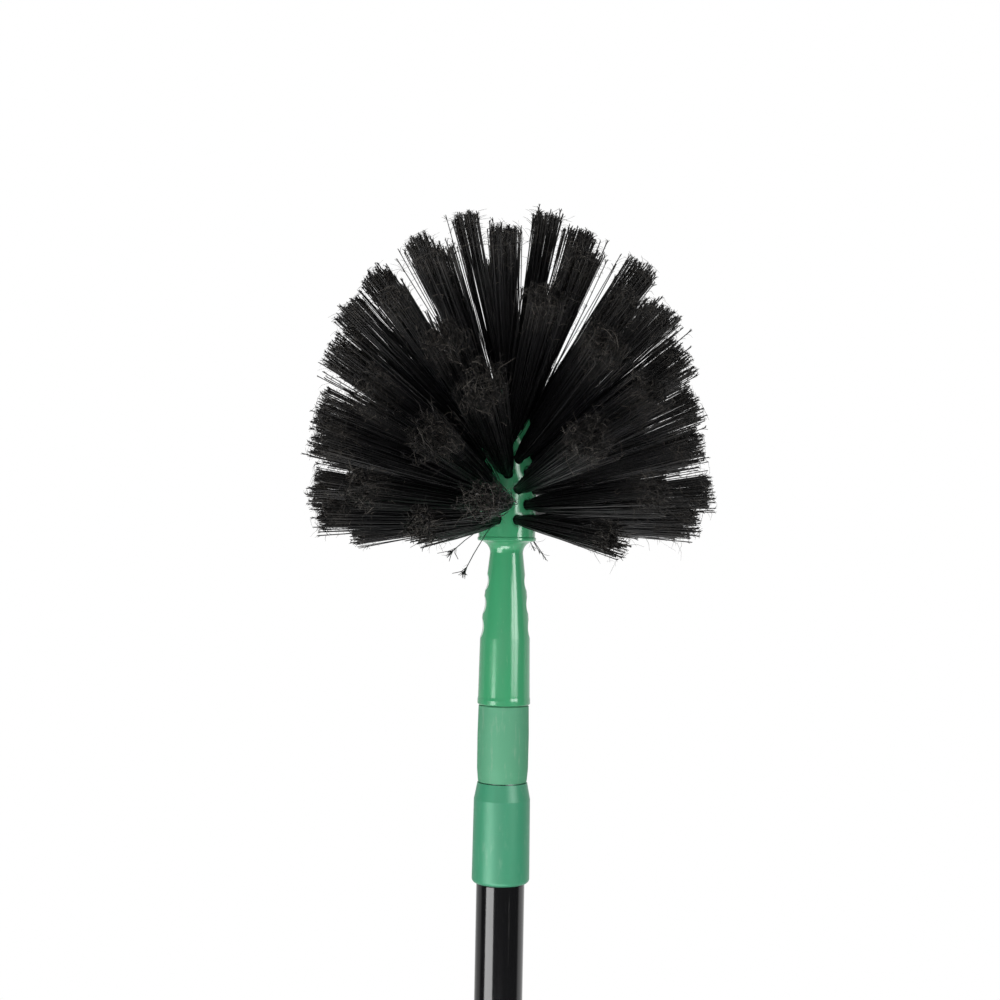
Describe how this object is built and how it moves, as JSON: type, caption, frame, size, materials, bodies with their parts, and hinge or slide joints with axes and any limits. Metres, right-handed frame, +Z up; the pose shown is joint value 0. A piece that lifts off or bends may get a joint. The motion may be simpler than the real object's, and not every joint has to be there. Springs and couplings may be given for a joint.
{
  "type": "cobweb brush",
  "caption": "Domed cobweb brush of splayed black tufts on a green core, push-fitted to a telescopic steel pole with a twist lock collar.",
  "frame": {"origin": "on the pole's axis at the lower end of the outer tube", "axes": "+Z up the pole towards the bristles, -Y towards the side that the picture shows"},
  "size_m": [0.207, 0.207, 0.9225],
  "materials": {
    "core_plastic": "gloss moulded green",
    "fitting_plastic": "matte moulded lighter green",
    "collar_plastic": "satin moulded green",
    "black_enamel": "gloss black powder coat",
    "black_plastic": "satin moulded black",
    "bright_steel": "bright plated steel",
    "white_nylon": "natural nylon",
    "anchor_wire": "drawn steel wire",
    "bristle": "black flagged synthetic bristle"
  },
  "bodies": {
    "pole": {"outer_tube": "black_enamel", "end_cap": "black_plastic", "threaded_ferrule": "collar_plastic", "clamp_ring": "white_nylon"},
    "twist_collar": {"lock_collar": "collar_plastic"},
    "inner_section": {"inner_tube": "bright_steel", "guide_bush": "black_plastic", "slide_ring": "white_nylon", "tip_fitting": "fitting_plastic"},
    "head": {"brush_core": "core_plastic", "tuft_anchors": "anchor_wire", "bristle_row_1": "bristle", "bristle_row_2": "bristle", "bristle_row_3": "bristle", "bristle_row_4": "bristle", "bristle_row_5": "bristle", "bristle_row_6": "bristle", "bristle_row_7": "bristle", "bristle_row_8": "bristle", "bristle_row_9": "bristle"}
  },
  "joints": [
    {"name": "collar_twist", "type": "hinge", "parent": "pole", "child": "twist_collar", "pos_m": [0, 0, 0.56], "axis": [0, 0, 1], "range_deg": [0, 120]},
    {"name": "pole_extend", "type": "slide", "parent": "pole", "child": "inner_section", "axis": [0, 0, 1], "range_m": [0, 0.47]},
    {"name": "head_pull_off", "type": "slide", "parent": "inner_section", "child": "head", "axis": [0, 0, 1], "range_m": [0, 0.06]}
  ]
}
